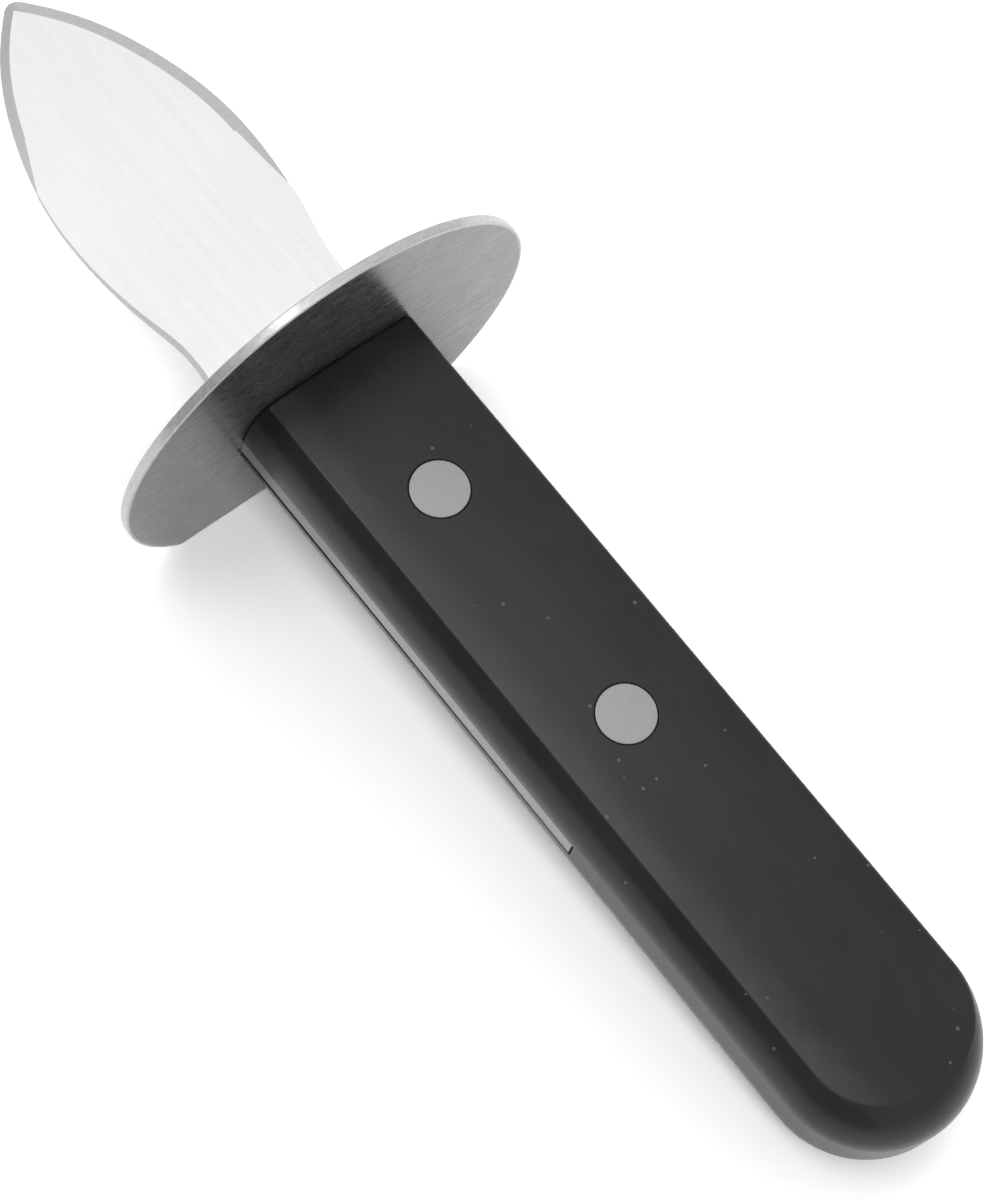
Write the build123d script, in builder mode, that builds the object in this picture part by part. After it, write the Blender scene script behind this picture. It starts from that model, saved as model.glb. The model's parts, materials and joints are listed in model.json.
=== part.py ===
"""Oyster knife with a round hand guard, lying on a table on its guard's flat and its butt.

Millimetres. X runs along the knife towards the tip, Y across it and Z up. The origin is on the
table, under the middle of the knife. The knife lies tip up, so its pieces are drawn on a tilted
plane: the blade's middle plane, with X towards the tip from the guard's rear face.
"""

import os
from math import asin, atan, atan2, cos, hypot, pi, radians, sin, sqrt, tan

from build123d import *

# Blade and tang

blade_reach = 63.0  # from the guard's front face to the tip
blade_width = 27.0  # at the belly
neck_width = 21.6
shoulder_overlap = 0.5  # of the blade over each end of the guard's slot
stock_thickness = 2.9  # of the steel that blade and tang are cut from
belly_thickness = 1.2
tip_thickness = 1.1
edge_thickness = 0.35
bevel_left_width = 1.15
bevel_right_width = 1.6
tip_round = 1.9
tang_length = 61.0  # behind the guard

# Guard

guard_diameter = 58.3
guard_thickness = 1.3
guard_foot_depth = 20.1  # from the blade's middle plane down to the guard's flat
guard_lean = 0.76  # degrees, its top back towards the handle
guard_turn = 0.77  # degrees, its left side forward
guard_edge_round = 0.2

# Handle

handle_length = 111.0
handle_width = 24.8
handle_shift = 0.3  # of handle and tang to the left of the rivets and the blade
handle_thickness = 16.8  # over the crowned faces
handle_crown = 0.45  # rise of the broad faces above their edge lines
side_height = 4.8  # straight part of the sides
edge_inset = 3.15  # from the left side in to the edge lines
edge_inset_right = 1.2
butt_inset = 3.2  # from the butt in to the edge lines
slot_mouth_gap = 0.9  # under the tang at the guard
slot_end_gap = 0.3  # under the tang at the slot's end, and behind the tang
handle_front_round = 0.5
handle_edge_round = 0.6  # along the edge lines

# Rivets, each in two halves

front_rivet_place = 20.0  # behind the guard
rear_rivet_place = 53.8
rivet_head_diameter = 7.2
rivet_head_depth = 2.4
rivet_shank_diameter = 5.0
rivet_pin_diameter = 3.2
rivet_edge_round = 0.15
seat_edge_round = 0.15  # of the handle's holes round the heads

# Clearances and overrun

tang_clearance = 0.1  # all round the tang in the guard's slot
rivet_clearance = 0.06  # round the heads and shanks
pin_clearance = 0.02  # round the pin in its socket
rivet_end_gap = 0.3  # from the end of a socket or pin to the other half
overrun = 4.0  # how far a cut runs past what it cuts

# How the knife lies, on the guard's rear lower edge and on the butt's lower edge line

half_width = handle_width / 2
half_thickness = handle_thickness / 2
half_stock = stock_thickness / 2
flank_foot = side_height / 2
edge_line_height = half_thickness - handle_crown
side_round = (edge_inset**2 + (edge_line_height - flank_foot) ** 2) / (2 * edge_inset)


def flank_inset(height):
    """How far a side has drawn in at a height above the blade's middle plane."""
    return side_round - sqrt(side_round**2 - (height - flank_foot) ** 2)


def butt_reach(inset):
    """How far back the butt reaches where the sides have drawn in by an inset."""
    return handle_length - inset * butt_inset / edge_inset


# The table touches two rounds, whose middles are foot_run and foot_drop apart. The guard's is at
# the right end of its flat, because the guard is turned.
lean = radians(guard_lean)
turn = radians(guard_turn)
guard_round_depth = guard_foot_depth - guard_edge_round
flat_reach = sqrt((guard_diameter / 2 - guard_edge_round) ** 2 - guard_round_depth**2)
guard_round_lead = (
    guard_edge_round * cos(lean) + guard_round_depth * sin(lean)
) * cos(turn) - flat_reach * sin(turn)
guard_round_drop = guard_round_depth * cos(lean) - guard_edge_round * sin(lean)
flank_rise = half_thickness - flank_foot
butt_slope = butt_inset / edge_inset * flank_rise / sqrt(side_round**2 - flank_rise**2)
edge_turn = pi / 2 - atan(butt_slope)
foot_span = butt_reach(flank_inset(half_thickness)) - handle_edge_round * tan(edge_turn / 2)
foot_height = half_thickness - handle_edge_round
foot_run = foot_span + guard_round_lead
foot_drop = guard_round_drop - foot_height
foot_turn = asin((guard_edge_round - handle_edge_round) / hypot(foot_run, foot_drop))
tilt = atan2(foot_drop, foot_run) + foot_turn

belly_height = belly_thickness / 2
tip_height = tip_thickness / 2
edge_height = edge_thickness / 2
left_slope = bevel_left_width / (tip_height - edge_height)
right_slope = bevel_right_width / (tip_height - edge_height)
tip_reach = guard_thickness + blade_reach
tip_edge_height = edge_height + tip_round * (1 - sqrt(0.5)) / right_slope
front_extent = tip_reach * cos(tilt) + tip_edge_height * sin(tilt)

butt_round = side_round * butt_inset / edge_inset
butt_bulge = hypot(butt_round * cos(tilt), side_round * sin(tilt))
rear_extent = (handle_length - butt_round) * cos(tilt) + flank_foot * sin(tilt) + butt_bulge

lie = Plane(
    origin=(
        (rear_extent - front_extent) / 2,
        0,
        foot_span * sin(tilt) + foot_height * cos(tilt) + handle_edge_round,
    ),
    x_dir=(cos(tilt), 0, sin(tilt)),
    z_dir=(-sin(tilt), 0, cos(tilt)),
)
side_on = Plane(origin=lie.origin, x_dir=lie.x_dir, z_dir=-lie.y_dir)
tipwards = Axis(lie.origin, lie.x_dir)
upwards = Axis(lie.origin, lie.z_dir)
rivet_centres = ((-front_rivet_place, 0), (-rear_rivet_place, 0))


def across(reach):
    """The plane square to the knife at a reach ahead of the guard's rear face, its Y upwards."""
    return Plane(origin=lie.from_local_coords((reach, 0, 0)), x_dir=lie.y_dir, z_dir=lie.x_dir)


# The guard leans and turns a little, so this is its rear face. The handle's front follows it.
guard_seat = Plane(
    across(0).location * Rotation(0, -guard_turn, 0) * Rotation(-guard_lean, 0, 0)
)

os.makedirs("parts", exist_ok=True)

# Blade with its tang, one piece of steel

neck_reach_share = 0.172  # of the blade's reach
swell_reach_share = 0.273
swell_width_share = 0.874  # of the blade's width
belly_reach_share = 0.503
fore_reach_shares = (0.75, 0.875)
fore_width_shares = (0.785, 0.517)
fore_lean_shares = (0.36, 0.5)  # how much of a bevel's inset goes towards the guard there
left_fade_shares = (0.6, 0.735)  # where the bevel starts at the edge, and is at its full width
right_fade_shares = (0.22, 0.52)
left_full_share = 0.36  # of the blade's width, out to the bevel's inner line there
right_full_share = 0.44

tang_width = handle_width
slot_width = tang_width + 2 * tang_clearance
shoulder_width = slot_width + 2 * (handle_shift + shoulder_overlap)
bevel_height = max(belly_height, tip_height)


def blade_place(reach_share):
    """A reach ahead of the guard's rear face, from a share of the blade's reach."""
    return guard_thickness + blade_reach * reach_share


def draw_blade(left_inset, right_inset):
    """Adds the blade's shape, drawn in by an inset on each side, to the sketch. Its tip is a sharp
    right angle, and its shoulders run on into the guard."""
    apex = (
        tip_reach + tip_round * (sqrt(2) - 1) - (left_inset + right_inset) * sqrt(0.5),
        (right_inset - left_inset) * sqrt(0.5),
    )
    with BuildLine() as outline:
        for way, inset in ((1, left_inset), (-1, right_inset)):
            shoulder = (0, way * (shoulder_width / 2 + guard_thickness - inset))
            neck = (blade_place(neck_reach_share), way * (neck_width / 2 - inset))
            swell = (
                blade_place(swell_reach_share),
                way * (blade_width / 2 * swell_width_share - inset),
            )
            belly = (blade_place(belly_reach_share), way * (blade_width / 2 - inset))
            fore = [
                (
                    blade_place(reach) - inset * fore_lean,
                    way * (blade_width / 2 * width - inset * sqrt(1 - fore_lean**2)),
                )
                for reach, width, fore_lean in zip(
                    fore_reach_shares, fore_width_shares, fore_lean_shares
                )
            ]
            Spline(shoulder, neck, tangents=((1, -way), (1, 0)))
            Spline(neck, swell, belly, tangents=((1, 0), (1, 0)))
            Spline(belly, *fore, apex, tangents=((1, 0), (1, -way)))
        Line(
            (0, shoulder_width / 2 + guard_thickness - left_inset),
            (0, right_inset - shoulder_width / 2 - guard_thickness),
        )
    make_face(outline.edges())


def grind_faces():
    """Keeps what lies between the blade's two broad faces, which are ground down to the belly."""
    belly_place = blade_place(belly_reach_share)
    section_end = tip_reach + tip_round
    with BuildSketch(side_on) as section:
        with BuildLine():
            for way in (1, -1):
                Line((0, way * half_stock), (guard_thickness, way * half_stock))
                Spline(
                    (guard_thickness, way * half_stock),
                    (belly_place, way * belly_height),
                    tangents=((1, 0), (section_end - belly_place, way * (tip_height - belly_height))),
                )
                Line((belly_place, way * belly_height), (section_end, way * tip_height))
            Line((0, half_stock), (0, -half_stock))
            Line((section_end, tip_height), (section_end, -tip_height))
        make_face()
    extrude(section.sketch, amount=blade_width, both=True, mode=Mode.INTERSECT)


with BuildPart() as neck:
    # Behind the bevels the edges are square
    with BuildSketch(lie.offset(-half_stock)):
        draw_blade(0, 0)
        with BuildLine():
            Polyline(
                (0, -blade_width),
                (blade_place(right_fade_shares[0]), -blade_width),
                (blade_place(right_fade_shares[0]), -blade_width / 2),
                (blade_place(right_fade_shares[1]), -blade_width * right_full_share),
                (blade_place(left_fade_shares[1]), blade_width * left_full_share),
                (blade_place(left_fade_shares[0]), blade_width / 2),
                (blade_place(left_fade_shares[0]), blade_width),
                (0, blade_width),
                close=True,
            )
        make_face(mode=Mode.INTERSECT)
    extrude(amount=stock_thickness)
    grind_faces()

with BuildPart() as blade:
    with BuildSketch(lie.offset(edge_height)):
        draw_blade(0, 0)
    with BuildSketch(lie.offset(bevel_height)):
        bevel_rise = bevel_height - edge_height
        draw_blade(bevel_rise * left_slope, bevel_rise * right_slope)
    loft()
    mirror(about=lie)
    with BuildSketch(lie.offset(-edge_height)):
        draw_blade(0, 0)
    extrude(amount=edge_thickness)
    grind_faces()
    # The tip is rounded off
    with BuildSketch(lie.offset(-half_stock)):
        with Locations((tip_reach - tip_round * (1 - sqrt(0.5)), 0)):
            Rectangle(tip_round, 2 * tip_round, align=(Align.MIN, Align.CENTER))
        with Locations((tip_reach - tip_round, 0)):
            Circle(tip_round, mode=Mode.SUBTRACT)
    extrude(amount=stock_thickness, mode=Mode.SUBTRACT)
    add(neck.part)
    # The shoulders stand on the guard's front face
    with BuildSketch(guard_seat.offset(guard_thickness)):
        Rectangle(guard_diameter, guard_diameter)
    extrude(amount=-overrun, mode=Mode.SUBTRACT)
    # The tang runs through the guard into the handle
    with BuildSketch(lie.offset(-half_stock)):
        with Locations((guard_thickness + shoulder_overlap, handle_shift)):
            Rectangle(
                guard_thickness + shoulder_overlap + tang_length,
                tang_width,
                align=(Align.MAX, Align.CENTER),
            )
    extrude(amount=stock_thickness)
    with BuildSketch(lie.offset(-half_stock)):
        with Locations(*rivet_centres):
            Circle(rivet_shank_diameter / 2 + rivet_clearance)
    extrude(amount=stock_thickness, mode=Mode.SUBTRACT)

blade.part.label = "blade"
export_step(blade.part, "parts/blade.step")

# Guard, a steel disc with a flat to stand on and a slot for the tang

with BuildPart() as guard:
    with BuildSketch(guard_seat):
        Circle(guard_diameter / 2)
        with Locations((0, -guard_foot_depth)):
            Rectangle(
                guard_diameter,
                guard_diameter,
                align=(Align.CENTER, Align.MAX),
                mode=Mode.SUBTRACT,
            )
    extrude(amount=guard_thickness)
    fillet(guard.edges(), radius=guard_edge_round)
    with BuildSketch(across(-overrun)):
        with Locations((handle_shift, 0)):
            Rectangle(slot_width, stock_thickness + 2 * tang_clearance)
    extrude(amount=guard_thickness + 2 * overrun, mode=Mode.SUBTRACT)

guard.part.label = "guard"
export_step(guard.part, "parts/guard.step")

# Handle, one moulding with a slot for the tang

flank_steps = 6
flank_top = half_thickness + handle_crown / 4
flank_turn = asin((flank_top - flank_foot) / side_round)
head_seat = half_thickness - rivet_head_depth


def draw_handle(inset):
    """Adds the handle's shape, its left side drawn in by an inset and its right side by a share of
    it, to the sketch. It runs on past the guard."""
    left = half_width + handle_shift - inset
    right = half_width - handle_shift - inset * edge_inset_right / edge_inset
    butt = butt_reach(inset)
    butt_end = (left + right) / 2 - butt
    with BuildLine() as outline:
        Polyline((butt_end, left), (overrun, left), (overrun, -right), (butt_end, -right))
        ThreePointArc((butt_end, -right), (-butt, (left - right) / 2), (butt_end, left))
    make_face(outline.edges())


def trim_to_faces():
    """Keeps what lies between the handle's two crowned faces."""
    reach = half_width + overrun
    rim = half_thickness - handle_crown * (reach / (half_width - edge_inset)) ** 2
    with BuildSketch(across(-handle_length)) as section:
        with BuildLine():
            ThreePointArc((-reach, rim), (0, half_thickness), (reach, rim))
            Line((reach, rim), (reach, -rim))
            ThreePointArc((reach, -rim), (0, -half_thickness), (-reach, -rim))
            Line((-reach, -rim), (-reach, rim))
        make_face()
    extrude(section.sketch, amount=handle_length + overrun, mode=Mode.INTERSECT)


with BuildPart() as handle:
    for step in range(flank_steps + 1):
        step_turn = flank_turn * step / flank_steps
        with BuildSketch(lie.offset(flank_foot + side_round * sin(step_turn))):
            draw_handle(side_round * (1 - cos(step_turn)))
    loft()
    mirror(about=lie)
    with BuildSketch(lie.offset(-flank_foot)):
        draw_handle(0)
    extrude(amount=side_height)
    trim_to_faces()
    # The front follows the guard
    with BuildSketch(guard_seat):
        Rectangle(guard_diameter, guard_diameter)
    extrude(amount=2 * overrun, mode=Mode.SUBTRACT)
    by_height = handle.faces().sort_by(upwards)
    edge_lines = [face.edges().sort_by(tipwards)[:-1] for face in (by_height[0], by_height[-1])]
    fillet(edge_lines[0] + edge_lines[1], radius=handle_edge_round)
    fillet(handle.faces().sort_by(tipwards)[-1].edges(), radius=handle_front_round)
    # The slot, wider below the tang at its mouth
    with BuildSketch(side_on):
        with BuildLine():
            Polyline(
                (overrun, half_stock),
                (-tang_length - slot_end_gap, half_stock),
                (-tang_length - slot_end_gap, -half_stock - slot_end_gap),
                (0, -half_stock - slot_mouth_gap),
                (overrun, -half_stock - slot_mouth_gap),
                close=True,
            )
        make_face()
    extrude(amount=handle_width, both=True, mode=Mode.SUBTRACT)
    # A hole for each shank, and a seat for each head above and below
    with BuildSketch(lie.offset(-half_thickness - overrun)):
        with Locations(*rivet_centres):
            Circle(rivet_shank_diameter / 2 + rivet_clearance)
    extrude(amount=handle_thickness + 2 * overrun, mode=Mode.SUBTRACT)
    for seat, way in ((head_seat, 1), (-head_seat, -1)):
        with BuildSketch(lie.offset(seat)):
            with Locations(*rivet_centres):
                Circle(rivet_head_diameter / 2 + rivet_clearance)
        extrude(amount=way * (rivet_head_depth + overrun), mode=Mode.SUBTRACT)
    by_height = handle.faces().sort_by(upwards)
    for face in (by_height[0], by_height[-1]):
        fillet([wire.edge() for wire in face.inner_wires()], radius=seat_edge_round)

handle.part.label = "handle"
export_step(handle.part, "parts/handle.step")

# Rivets: a socket pressed in from above takes a pin pressed in from below

for name, place in (("front", front_rivet_place), ("rear", rear_rivet_place)):
    with BuildPart() as rivet_socket:
        with BuildSketch(lie.offset(head_seat)):
            with Locations((-place, 0)):
                Circle(rivet_head_diameter / 2)
        extrude(amount=rivet_head_depth + overrun)
        with BuildSketch(lie.offset(rivet_end_gap - head_seat)):
            with Locations((-place, 0)):
                Circle(rivet_shank_diameter / 2)
        extrude(amount=2 * head_seat - rivet_end_gap)
        with BuildSketch(lie.offset(rivet_end_gap - head_seat)):
            with Locations((-place, 0)):
                Circle(rivet_pin_diameter / 2 + pin_clearance)
        extrude(amount=2 * head_seat - rivet_end_gap, mode=Mode.SUBTRACT)
        trim_to_faces()
        fillet(rivet_socket.edges().sort_by(upwards)[-1], radius=rivet_edge_round)

    rivet_socket.part.label = f"{name}_rivet_socket"
    export_step(rivet_socket.part, f"parts/{name}_rivet_socket.step")

    with BuildPart() as rivet_pin:
        with BuildSketch(lie.offset(-head_seat)):
            with Locations((-place, 0)):
                Circle(rivet_head_diameter / 2)
        extrude(amount=-rivet_head_depth - overrun)
        with BuildSketch(lie.offset(-head_seat)):
            with Locations((-place, 0)):
                Circle(rivet_pin_diameter / 2)
        extrude(amount=2 * head_seat - rivet_end_gap)
        trim_to_faces()
        fillet(rivet_pin.edges().sort_by(upwards)[0], radius=rivet_edge_round)

    rivet_pin.part.label = f"{name}_rivet_pin"
    export_step(rivet_pin.part, f"parts/{name}_rivet_pin.step")
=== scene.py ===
"""Looks, light and camera for the oyster knife. Metres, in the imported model's frame."""

import json
import math

import bpy
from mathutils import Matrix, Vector

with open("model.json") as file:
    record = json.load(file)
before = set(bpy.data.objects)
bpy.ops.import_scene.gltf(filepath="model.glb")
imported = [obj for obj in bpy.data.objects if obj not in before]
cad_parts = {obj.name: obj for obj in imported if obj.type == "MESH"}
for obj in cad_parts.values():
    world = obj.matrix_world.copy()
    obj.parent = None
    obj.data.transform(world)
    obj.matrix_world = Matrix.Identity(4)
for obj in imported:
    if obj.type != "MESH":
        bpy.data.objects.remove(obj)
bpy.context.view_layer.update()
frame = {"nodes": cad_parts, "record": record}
nodes = frame["nodes"]

# The knife's own frame: X towards the tip from the guard's rear face, Y to its left, Z up out of
# the blade

knife_tilt = 0.1089068
knife_origin = Vector((0.0233443, 0.0, 0.0199580))
along = Vector((math.cos(knife_tilt), 0.0, math.sin(knife_tilt)))
upward = Vector((-math.sin(knife_tilt), 0.0, math.cos(knife_tilt)))
mm_in_metre = 1000.0

# Camera, matched to the photograph

camera_place = (-0.1048312, 0.0974051, 0.3053556)
camera_turn = (0.4533734, -0.0667629, -2.2660562)
camera_lens = 82.197
camera_shift = (-0.041667, -0.034745)
camera_near = 0.01

camera_data = bpy.data.cameras.new("camera")
camera_data.lens = camera_lens
camera_data.shift_x, camera_data.shift_y = camera_shift
camera_data.clip_start = camera_near
camera = bpy.data.objects.new("camera", camera_data)
camera.location = camera_place
camera.rotation_euler = camera_turn
bpy.context.scene.collection.objects.link(camera)
bpy.context.scene.camera = camera

# Ranges that a noise, or the sum of two, keeps to over most of a surface

noise_core = (0.35, 0.65)
noise_most = (0.3, 0.7)
noise_wide = (0.25, 0.75)
two_noises = (0.6, 1.4)


class Look:
    """A node tree, built one node at a time."""

    def __init__(self, tree):
        self.tree = tree

    def node(self, kind, inputs=None, **settings):
        made = self.tree.nodes.new(kind)
        for name, value in settings.items():
            setattr(made, name, value)
        for name, value in (inputs or {}).items():
            self.feed(made.inputs[name], value)
        return made

    def feed(self, socket, value):
        if isinstance(value, bpy.types.NodeSocket):
            self.tree.links.new(value, socket)
        else:
            socket.default_value = value

    def math(self, operation, first, second=0.0):
        return self.node("ShaderNodeMath", {0: first, 1: second}, operation=operation).outputs[0]

    def add(self, first, second):
        return self.math("ADD", first, second)

    def times(self, first, second):
        return self.math("MULTIPLY", first, second)

    def dot(self, first, second):
        inputs = {0: first, 1: second}
        return self.node("ShaderNodeVectorMath", inputs, operation="DOT_PRODUCT").outputs["Value"]

    def span(self, value, ends, results=(0.0, 1.0)):
        """The value carried smoothly from between two ends to between two results, held beyond."""
        inputs = {
            "Value": value,
            "From Min": ends[0],
            "From Max": ends[1],
            "To Min": results[0],
            "To Max": results[1],
        }
        made = self.node("ShaderNodeMapRange", inputs, interpolation_type="SMOOTHSTEP")
        return made.outputs["Result"]

    def blend(self, factor, first, second):
        """A number that goes from first to second with the factor."""
        made = self.node("ShaderNodeMix", {0: factor, 2: first, 3: second}, data_type="FLOAT")
        return made.outputs[0]

    def grey(self, value):
        inputs = {"Red": value, "Green": value, "Blue": value}
        return self.node("ShaderNodeCombineColor", inputs).outputs[0]


class Finish(Look):
    """A material of the knife. Its textures are placed in the knife's own frame, in millimetres."""

    def __init__(self, name):
        self.material = bpy.data.materials.new(name)
        self.material.use_nodes = True
        super().__init__(self.material.node_tree)
        self.shader = self.tree.nodes["Principled BSDF"]
        origin_along, origin_upward = knife_origin.dot(along), knife_origin.dot(upward)
        inputs = {
            "Vector": self.node("ShaderNodeTexCoord").outputs["Object"],
            "Location": (-origin_along * mm_in_metre, 0.0, -origin_upward * mm_in_metre),
            "Rotation": (0.0, knife_tilt, 0.0),
            "Scale": (mm_in_metre, mm_in_metre, mm_in_metre),
        }
        self.place = self.node("ShaderNodeMapping", inputs).outputs[0]
        parts = self.node("ShaderNodeSeparateXYZ", {0: self.place})
        self.x, self.y, self.z = parts.outputs

    def stretched(self, size, turn=0.0):
        """The knife's frame divided by a size in millimetres, after a turn about its Z."""
        inputs = {"Vector": self.place, "Rotation": (0.0, 0.0, turn)}
        turned = self.node("ShaderNodeMapping", inputs).outputs[0]
        inputs = {"Vector": turned, "Scale": [1 / s for s in size]}
        return self.node("ShaderNodeMapping", inputs).outputs[0]

    def noise(self, size, detail=2.0, turn=0.0, seed=0.0):
        inputs = {"Vector": self.stretched(size, turn), "W": seed, "Scale": 1.0, "Detail": detail}
        return self.node("ShaderNodeTexNoise", inputs, noise_dimensions="4D").outputs[0]

    def specks(self, cell, radius, kept_ends=(0.55, 1.0)):
        """1 in scattered dots of up to a radius, one to a cell and many left out, else 0."""
        inputs = {"Vector": self.stretched((cell, cell, cell)), "Scale": 1.0}
        dots = self.node("ShaderNodeTexVoronoi", inputs, voronoi_dimensions="3D")
        draw = self.node("ShaderNodeSeparateColor", {0: dots.outputs["Color"]}).outputs[0]
        reach = self.times(self.span(draw, kept_ends), radius / cell)
        return self.math("LESS_THAN", dots.outputs["Distance"], reach)

    def facing(self, way):
        """The cosine between the surface's normal and a direction, without its sign."""
        normal = self.node("ShaderNodeNewGeometry").outputs["Normal"]
        return self.math("ABSOLUTE", self.dot(normal, way))

    def bump(self, height, depth, strength):
        """Relief from a height, with a depth in millimetres."""
        inputs = {"Height": height, "Strength": strength, "Distance": depth / mm_in_metre}
        self.feed(self.shader.inputs["Normal"], self.node("ShaderNodeBump", inputs).outputs[0])

    def set(self, **values):
        for name, value in values.items():
            self.feed(self.shader.inputs[name.replace("_", " ")], value)


def blade_steel():
    """Brushed along the broad faces, ground across the bevels and edges, darker on the tang. The
    tang has painted shade near the guard, and the edges on the knife's right are painted brighter
    as painted light.
    """
    broad_ends = (0.976, 0.992)
    face_greys, face_roughness = (0.76, 0.85), (0.4, 0.32)
    edge_greys, edge_roughness = (0.4, 0.46), 0.42
    # Painted light: the edges on the knife's right are painted brighter than those on its left
    right_to_left, painted_side_levels = (-1.0, 1.0), (1.25, 1.0)
    # Painted shade: the tang is darker than the blade, and painted darker still near the guard
    tang_ends, tang_levels_with_painted_shade = (-16.0, -22.0), (0.62, 0.8)
    guard_ends = (-1.0, 0.5)

    look = Finish("blade_steel")
    broad = look.span(look.facing(upward), broad_ends)
    fine = look.noise(size=(5.0, 0.12, 0.5), detail=3.0)
    wide = look.noise(size=(26.0, 0.9, 2.0), seed=4.0)
    grain = look.noise(size=(0.3, 0.25, 0.3), seed=9.0)
    streaks = look.times(look.add(look.add(fine, wide), grain), 1 / 3)
    grind = look.noise(size=(0.12, 1.2, 1.2), seed=7.0)
    face_grey = look.span(streaks, noise_core, face_greys)
    # Edges on the knife's right painted brighter, as painted light
    painted_side_light = look.span(look.y, right_to_left, painted_side_levels)
    edge_grey = look.times(look.span(grind, noise_most, edge_greys), painted_side_light)
    # Tang darker, with painted shade near the guard
    tang_dark_with_painted_shade = look.span(look.x, tang_ends, tang_levels_with_painted_shade)
    tang_darkening_with_painted_shade = look.blend(look.span(look.x, guard_ends), tang_dark_with_painted_shade, 1.0)
    look.set(
        Base_Color=look.grey(look.times(look.blend(broad, edge_grey, face_grey), tang_darkening_with_painted_shade)),
        Metallic=1.0,
        Roughness=look.blend(broad, edge_roughness, look.span(streaks, noise_core, face_roughness)),
    )
    look.bump(look.blend(broad, grind, look.add(fine, grain)), depth=0.004, strength=0.5)
    return look.material


def guard_steel():
    """Satin sheet with fine hairs across it and a paler rim. The faces' darker grey is painted
    shade.
    """
    rim_ends = (28.6, 29.0)
    # Painted shade: the faces are given a darker grey than the rim
    face_greys, face_roughness = (0.175, 0.22), (0.2, 0.36)
    rim_greys, rim_roughness = (0.42, 0.54), 0.3

    look = Finish("guard_steel")
    squares = look.add(look.math("POWER", look.y, 2.0), look.math("POWER", look.z, 2.0))
    rim = look.span(look.math("SQRT", squares), rim_ends)
    cloud = look.noise(size=(6.0, 6.0, 6.0), detail=4.0)
    hair = look.noise(size=(0.4, 3.0, 0.25), detail=3.0, seed=3.0)
    # The faces' grey, darkened as painted shade
    face_grey = look.span(look.add(cloud, hair), two_noises, face_greys)
    rim_grey = look.span(hair, noise_most, rim_greys)
    look.set(
        Base_Color=look.grey(look.blend(rim, face_grey, rim_grey)),
        Metallic=0.8,
        Roughness=look.blend(rim, look.span(hair, noise_core, face_roughness), rim_roughness),
    )
    look.bump(hair, depth=0.003, strength=0.5)
    return look.material


def handle_plastic():
    """Black and satin, with scattered specks, a few scratches and a painted highlight along the top
    face's left edge.
    """
    hair_ends, cross_ends, patch_ends = (0.72, 0.78), (0.74, 0.8), (0.5, 0.62)
    scratch_share, dust_share, mark_grey = 0.35, 0.8, 0.1
    # Painted highlight along the top face's left edge: where it lies, how strong, and its grey
    top_ends, left_ends, painted_highlight_shares, painted_highlight_grey = (0.93, 0.98), (4.0, 10.5), (0.7, 1.3), 0.036
    plain_greys, roughness = (0.006, 0.01), (0.26, 0.33)

    look = Finish("handle_plastic")
    grain = look.noise(size=(0.35, 0.35, 0.35), detail=3.0)
    cloud = look.noise(size=(9.0, 5.0, 5.0), detail=3.0, seed=2.0)
    hairs = look.noise(size=(9.0, 0.09, 0.4), detail=1.0, turn=0.35, seed=5.0)
    cross = look.noise(size=(6.0, 0.08, 0.4), detail=1.0, turn=-0.8, seed=8.0)
    patches = look.noise(size=(5.0, 4.0, 4.0), detail=1.0, seed=11.0)
    lines = look.math("MAXIMUM", look.span(hairs, hair_ends), look.span(cross, cross_ends))
    scratches = look.times(lines, look.span(patches, patch_ends))
    dust = look.specks(cell=2.2, radius=0.24)
    marks = look.math("MAXIMUM", look.times(scratches, scratch_share), look.times(dust, dust_share))
    # Painted highlight: the top face is painted paler towards its left edge
    painted_highlight = look.times(look.span(look.facing(upward), top_ends), look.span(look.y, left_ends))
    painted_highlight = look.times(painted_highlight, look.span(cloud, noise_wide, painted_highlight_shares))
    plastic_with_painted_highlight = look.blend(painted_highlight, look.span(cloud, noise_most, plain_greys), painted_highlight_grey)
    look.set(
        Base_Color=look.grey(look.blend(marks, plastic_with_painted_highlight, mark_grey)),
        Roughness=look.span(look.add(cloud, grain), two_noises, roughness),
        Specular_IOR_Level=0.36,
        IOR=1.5,
    )
    look.bump(look.add(grain, look.times(marks, 2.0)), depth=0.006, strength=0.35)
    return look.material


def rivet_steel():
    """Ground heads with a faint slanting grain."""
    greys, roughness = (0.3, 0.35), (0.42, 0.5)

    look = Finish("rivet_steel")
    fine = look.noise(size=(0.5, 0.12, 0.5), detail=3.0, turn=0.6)
    cloud = look.noise(size=(2.5, 2.5, 2.5), seed=3.0)
    look.set(
        Base_Color=look.grey(look.span(look.add(fine, cloud), two_noises, greys)),
        Metallic=1.0,
        Roughness=look.span(cloud, noise_most, roughness),
    )
    look.bump(fine, depth=0.003, strength=0.4)
    return look.material


finishes = {
    "blade_steel": blade_steel(),
    "guard_steel": guard_steel(),
    "handle_plastic": handle_plastic(),
    "rivet_steel": rivet_steel(),
}
for subpart in frame["record"]["subparts"]:
    for slot in nodes[subpart["node"]].material_slots:
        slot.material = finishes[subpart["material_slot"]]


# Helpers for the table, the card and the world


def plate(name, corners):
    """A flat piece of the stage, not of the knife."""
    mesh = bpy.data.meshes.new(name)
    mesh.from_pydata(corners, [], [list(range(len(corners)))])
    made = bpy.data.objects.new(name, mesh)
    bpy.context.scene.collection.objects.link(made)
    return made


def paint(made, name):
    """A new empty material on a plate."""
    material = bpy.data.materials.new(name)
    material.use_nodes = True
    look = Look(material.node_tree)
    look.tree.nodes.clear()
    made.data.materials.append(material)
    return look


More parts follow.
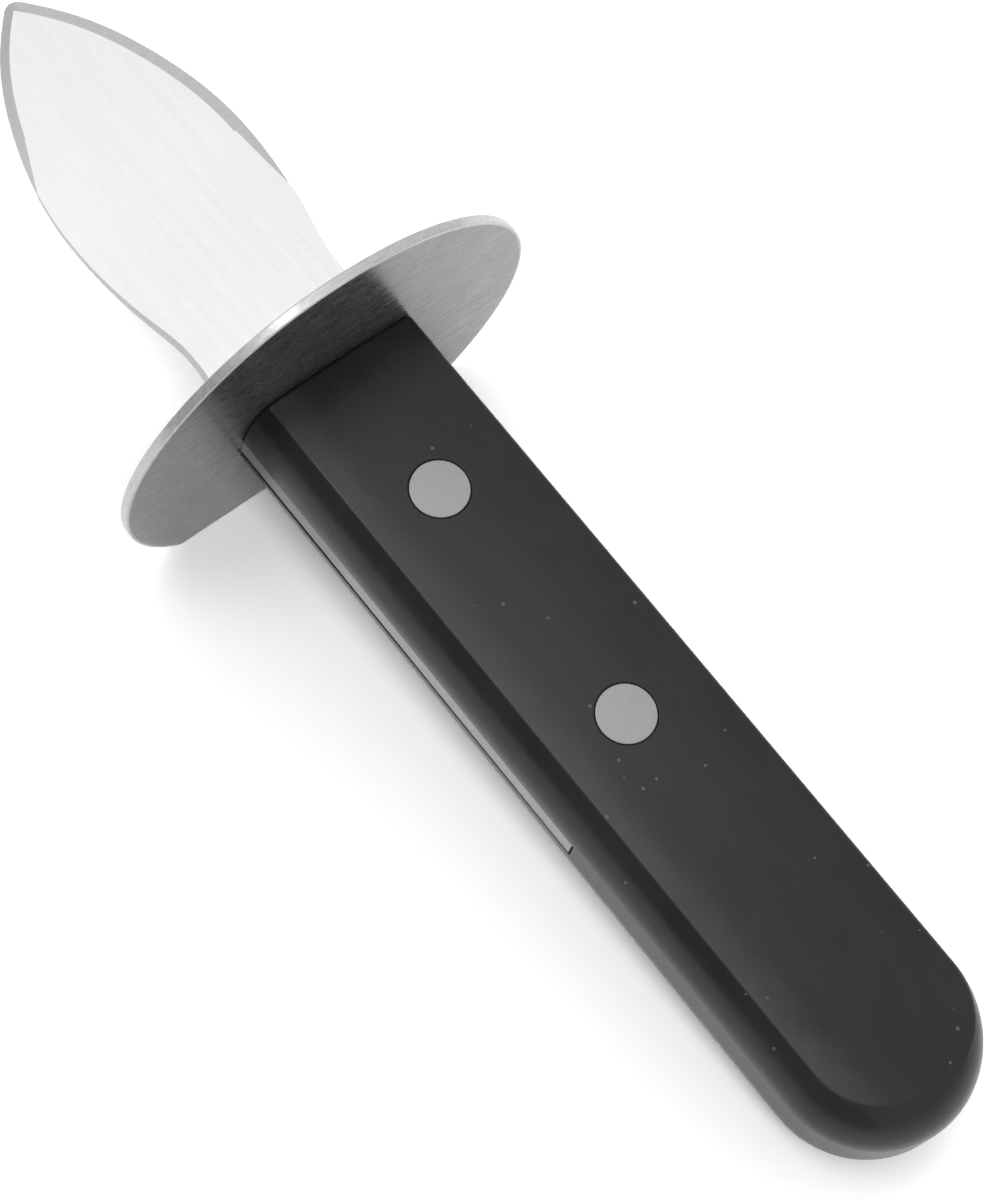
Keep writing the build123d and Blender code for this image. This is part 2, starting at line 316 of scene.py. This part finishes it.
def shown_to_eye(look):
    """1 for what the camera sees, straight or by a reflection or through glass, else 0."""
    path = look.node("ShaderNodeLightPath").outputs
    shown = look.math("MAXIMUM", path["Is Camera Ray"], path["Is Glossy Ray"])
    return look.math("MAXIMUM", shown, path["Is Transmission Ray"])


# Floor, white to the camera and to what reflects it, with the knife's shadow kept

floor_radius = 8.0
floor_step = 10
floor_plain_level = 0.95
floor_shown_level = 1.28

floor_turns = [math.radians(turn) for turn in range(0, 360, floor_step)]
floor = plate(
    "floor",
    [(floor_radius * math.cos(turn), floor_radius * math.sin(turn), 0.0) for turn in floor_turns],
)
floor_look = paint(floor, "floor")
floor_level = floor_look.blend(shown_to_eye(floor_look), floor_plain_level, floor_shown_level)
floor_paint = floor_look.node("ShaderNodeBsdfDiffuse", {"Color": floor_look.grey(floor_level)})
floor_look.node("ShaderNodeOutputMaterial", {"Surface": floor_paint.outputs[0]})

# World, a soft fill that comes mostly from the knife's right and front, and pale where it is seen

fill_way = (0.5, -0.87, 0.0)
fill_ends = (-0.8, 0.8)
fill_levels = (0.08, 0.88)
world_shown_level = 0.95

world = bpy.data.worlds.new("world")
bpy.context.scene.world = world
world.use_nodes = True
world_look = Look(world.node_tree)
world_look.tree.nodes.clear()
world_way = world_look.dot(world_look.node("ShaderNodeTexCoord").outputs["Generated"], fill_way)
world_fill = world_look.span(world_way, fill_ends, fill_levels)
world_level = world_look.blend(shown_to_eye(world_look), world_fill, world_shown_level)
world_light = world_look.node("ShaderNodeBackground", {"Color": world_look.grey(world_level)})
world_look.node("ShaderNodeOutputWorld", {"Surface": world_light.outputs[0]})

# Three far lamps light the table and the knife, and two softboxes are seen only in reflections


def add_lamp(data, place, turn, reflected):
    lamp = bpy.data.objects.new(data.name, data)
    lamp.location = place
    lamp.rotation_euler = turn.to_track_quat("-Z", "Y").to_euler()
    lamp.visible_glossy = reflected
    lamp.visible_diffuse = not reflected
    bpy.context.scene.collection.objects.link(lamp)


def far_lamp(name, way, width, strength):
    """A lamp in a direction, as wide as an angle in degrees."""
    data = bpy.data.lights.new(name, "SUN")
    data.angle = math.radians(width)
    data.energy = strength
    add_lamp(data, Vector(way), -Vector(way), False)


def softbox(name, place, size, radiance):
    """A rectangular lamp that faces the origin."""
    data = bpy.data.lights.new(name, "AREA")
    data.shape = "RECTANGLE"
    data.size, data.size_y = size
    data.energy = radiance * math.pi * size[0] * size[1]
    add_lamp(data, Vector(place), -Vector(place), True)


far_lamp("ceiling", way=(-0.43, 0.25, 0.87), width=28.0, strength=1.35)
far_lamp("window", way=(0.18, 0.18, 0.97), width=24.0, strength=0.42)
far_lamp("side", way=(0.43, -0.75, 0.5), width=28.0, strength=0.38)
softbox("strip", place=(0.05, 0.0, 1.07), size=(0.9, 0.2), radiance=1.4)
softbox("spot", place=(0.32, 0.2, 0.94), size=(0.2, 0.16), radiance=8.0)

# A grey card at the knife's left, seen only in reflections

card_side = 0.9
card_half_length = 1.5
card_height = 1.0
card_colour = (0.5, 0.5, 0.5, 1.0)

card = plate(
    "card",
    [
        (-card_half_length, card_side, 0.0),
        (card_half_length, card_side, 0.0),
        (card_half_length, card_side, card_height),
        (-card_half_length, card_side, card_height),
    ],
)
card.visible_camera = False
card.visible_diffuse = False
card.visible_shadow = False
card.visible_transmission = False
card_look = paint(card, "card")
card_grey = card_look.node("ShaderNodeEmission", {"Color": card_colour, "Strength": 1.0})
card_look.node("ShaderNodeOutputMaterial", {"Surface": card_grey.outputs[0]})

bpy.context.scene.view_settings.view_transform = "Standard"
